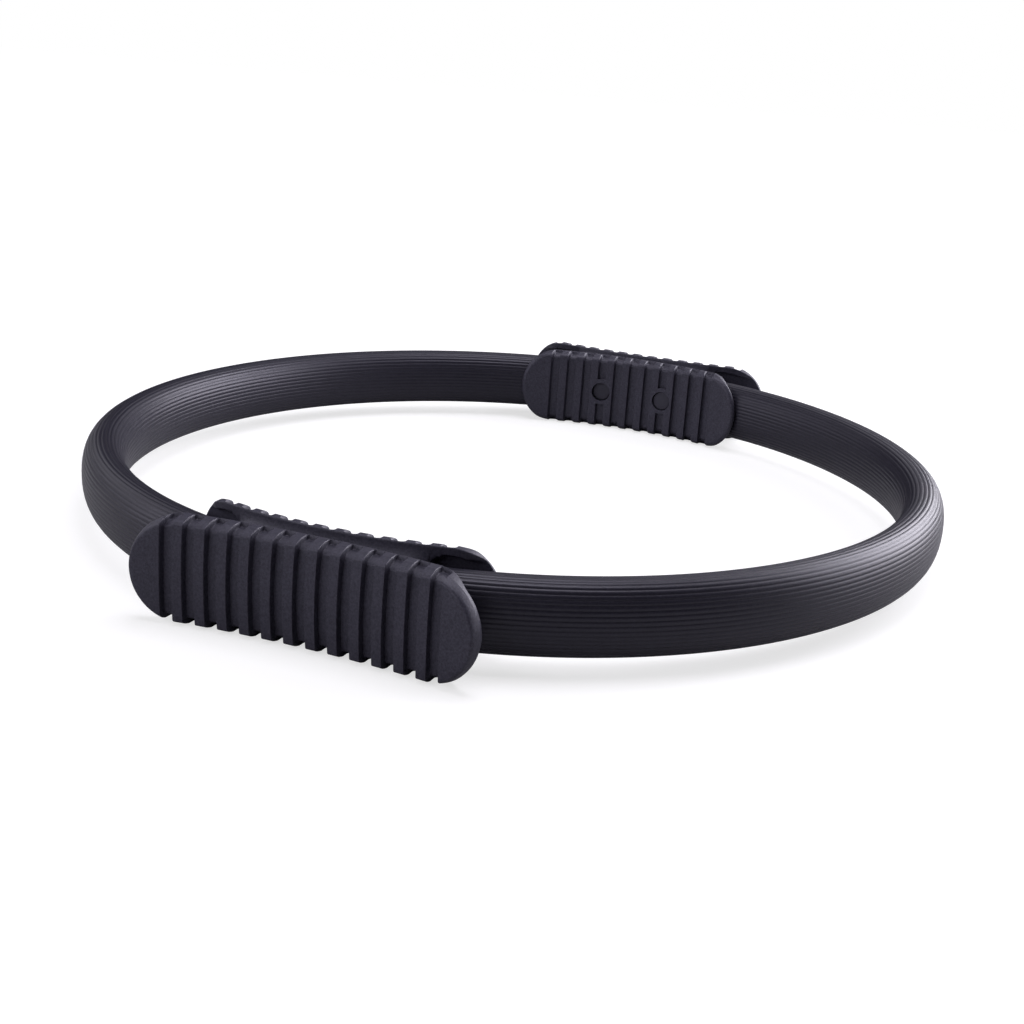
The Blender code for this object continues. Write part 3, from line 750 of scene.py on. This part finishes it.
def laminate_finish():
    """Glass-fibre laminate: near black, with long fibres just under a smooth skin."""
    laminate = Finish("glass_fibre_laminate")
    fibre = laminate.noise(900.0, detail=5.0, roughness=0.6, stretch=(0.25, 0.25, 4.0))
    colour = laminate.between(fibre, dark=(0.010, 0.011, 0.012), pale=(0.040, 0.042, 0.044))
    laminate.set({"Base Color": colour})
    laminate.set({"Roughness": 0.30 + fibre * 0.15, "IOR": LAMINATE_IOR})
    laminate.bump(fibre, depth=0.02 * MM, strength=0.5)
    return laminate.material


def steel_finish():
    """Turned steel with fine marks and a few darker stains."""
    steel = Finish("turned_steel")
    marks = steel.noise(1800.0, detail=4.0, roughness=0.6)
    stain = steel.noise(350.0, detail=3.0)
    colour = steel.between(stain, dark=(0.36, 0.37, 0.39), pale=(0.54, 0.55, 0.57))
    steel.set({"Base Color": colour, "Metallic": 1.0})
    steel.set({"Roughness": 0.26 + marks * 0.2})
    steel.bump(marks, depth=0.01 * MM, strength=0.5)
    return steel.material


def brass_finish():
    """Turned brass, a little tarnished."""
    brass = Finish("turned_brass")
    marks = brass.noise(1700.0, detail=4.0, roughness=0.6)
    tarnish = brass.noise(420.0, detail=4.0, roughness=0.6)
    colour = brass.between(tarnish, dark=(0.40, 0.27, 0.10), pale=(0.68, 0.50, 0.21))
    brass.set({"Base Color": colour, "Metallic": 1.0})
    brass.set({"Roughness": 0.28 + marks * 0.22})
    brass.bump(marks, depth=0.01 * MM, strength=0.5)
    return brass.material


def dress(piece, finish):
    """Gives a piece its finish."""
    piece.data.materials.clear()
    piece.data.materials.append(finish)


def make_grips():
    """The two grips' halves and caps. The front grip's are the rear grip's, turned half way round."""
    outer, inner = outer_half_mesh(), inner_half_mesh()
    rubber, cap_rubber = grip_finish(), cap_finish()
    for end, turn in (("front", math.pi), ("rear", 0.0)):
        for half, mesh in (("outer", outer), ("inner", inner)):
            name = f"{end}_{half}_pad"
            piece = add_piece(name, placed(mesh, name, turn=turn))
            dress(piece, rubber)
            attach(piece, f"{end}_grip")
            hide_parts(f"{end}_grip_{half}_half")
        for side, sign in (("left", -1), ("right", 1)):
            along = sign * SCREW_AT if end == "rear" else -sign * SCREW_AT
            name = f"{end}_{side}_cap"
            piece = add_piece(name, placed(cap_mesh(along, CAP_SINKS[side]), name, turn=turn))
            dress(piece, cap_rubber)
            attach(piece, f"{end}_grip")
            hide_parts(f"{end}_{side}_screw_cap")


def make_hoops():
    """The sleeves and bands, each in two quarters, because a piece bends between two bodies only."""
    foam, laminate = foam_finish(), laminate_finish()
    sleeve, band = quarter_sleeve_mesh(), quarter_band_mesh()
    for side, across in (("left", -1), ("right", 1)):
        for end, along in (("front", 1), ("rear", -1)):
            for kind, mesh, finish, slot in (
                ("sleeve", sleeve, foam, "sleeve_foam"),
                ("band", band, laminate, "spring_band"),
            ):
                name = f"{side}_{kind}_{end}_half"
                piece = add_piece(name, placed(mesh, name, flips=(across, along)))
                dress(piece, finish)
                if end == "front":
                    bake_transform(piece)
                else:
                    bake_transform(piece)
                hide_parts(f"{side}_{kind}")
                kind == "sleeve"


def finish_fastenings():
    """The screws and inserts keep their own shape, and get better materials."""
    steel, brass = steel_finish(), brass_finish()
    for end in ("front", "rear"):
        for side in ("left", "right"):
            for node, finish in ((f"{end}_{side}_screw", steel), (f"{end}_{side}_insert", brass)):
                obj = bpy.data.objects[node]
                for slot in obj.material_slots:
                    slot.material = finish


def set_camera():
    """The camera: on a sphere round the ring's middle, then panned, tilted and rolled a little."""
    level = math.cos(CAMERA_ELEVATION)
    right, back = level * math.sin(CAMERA_AZIMUTH), level * math.cos(CAMERA_AZIMUTH)
    away = Vector((right, -back, math.sin(CAMERA_ELEVATION)))
    look = (-away).to_track_quat("-Z", "Y").to_matrix().to_4x4()
    aim = Matrix.Rotation(CAMERA_PAN, 4, "Y") @ Matrix.Rotation(-CAMERA_TILT, 4, "X")
    camera = bpy.data.objects.new("camera", bpy.data.cameras.new("camera"))
    camera.data.sensor_width = CAMERA_SENSOR
    camera.data.lens = CAMERA_LENS
    camera.data.clip_start = CAMERA_CLIP_START
    place = Matrix.Translation(RING_MIDDLE + away * CAMERA_DISTANCE)
    camera.matrix_world = place @ look @ aim @ Matrix.Rotation(CAMERA_ROLL, 4, "Z")
    bpy.context.scene.collection.objects.link(camera)
    bpy.context.scene.camera = camera


def from_camera(right, away, up):
    """A point given as it is seen: to the right, away from the camera and up."""
    across, along = math.cos(CAMERA_AZIMUTH), math.sin(CAMERA_AZIMUTH)
    return Vector((right * across - away * along, right * along + away * across, up))


def set_lights():
    """Square softboxes round and above the ring, each turned to its middle."""
    for name, (place, power) in SOFTBOXES.items():
        light = bpy.data.lights.new(name, "AREA")
        light.size = SOFTBOX_SIZE
        light.energy = power
        light.color = LIGHT_TINT
        lamp = bpy.data.objects.new(name, light)
        lamp.location = from_camera(*place)
        lamp.rotation_euler = (RING_MIDDLE - lamp.location).to_track_quat("-Z", "Y").to_euler()
        lamp.visible_camera = False
        bpy.context.scene.collection.objects.link(lamp)


def set_world():
    """A world that is white to the camera but lights the ring only faintly."""
    world = bpy.data.worlds.new("studio")
    world.use_nodes = True
    nodes, links = world.node_tree.nodes, world.node_tree.links
    light_path = nodes.new("ShaderNodeLightPath")
    seen = nodes.new("ShaderNodeMix")
    seen.data_type = "FLOAT"
    seen.inputs["A"].default_value = AMBIENT
    seen.inputs["B"].default_value = 1.0
    links.new(light_path.outputs["Is Camera Ray"], seen.inputs["Factor"])
    background = nodes["Background"]
    background.inputs["Color"].default_value = (1.0, 1.0, 1.0, 1.0)
    links.new(seen.outputs[0], background.inputs["Strength"])
    bpy.context.scene.world = world


def floor_finish():
    """A pale floor that glows for the camera, the more the further out, by a smooth step of the distance."""
    floor = Finish("pale_floor")
    floor.set({"Base Color": (*FLOOR_GREY, 1.0), "Roughness": FLOOR_ROUGHNESS, "Specular IOR Level": 0.0})
    seen = floor.add("ShaderNodeLightPath", output="Is Camera Ray")
    distance = floor.add("ShaderNodeVectorMath", {"operation": "LENGTH"}, {0: floor.place()}, "Value")
    levels = {"From Min": GLOW_RISES_FROM, "From Max": GLOW_RISES_TO, "To Min": FLOOR_GLOW, "To Max": 1.0}
    smooth = {"interpolation_type": "SMOOTHSTEP"}
    glow = floor.add("ShaderNodeMapRange", smooth, {"Value": distance, **levels})
    floor.set({"Emission Color": floor.grey(glow), "Emission Strength": seen})
    return floor.material


def make_floor():
    """A square under the ring, which isn't part of it."""
    corners = [(across * FLOOR_REACH, along * FLOOR_REACH, 0.0) for across, along in FLOOR_CORNERS]
    mesh = bpy.data.meshes.new("floor")
    mesh.from_pydata(corners, [], [range(len(corners))])
    mesh.materials.append(floor_finish())
    floor = add_piece("floor", mesh)


bpy.context.scene.view_settings.view_transform = "Standard"
set_camera()
make_grips()
make_hoops()
finish_fastenings()
set_lights()
set_world()
make_floor()
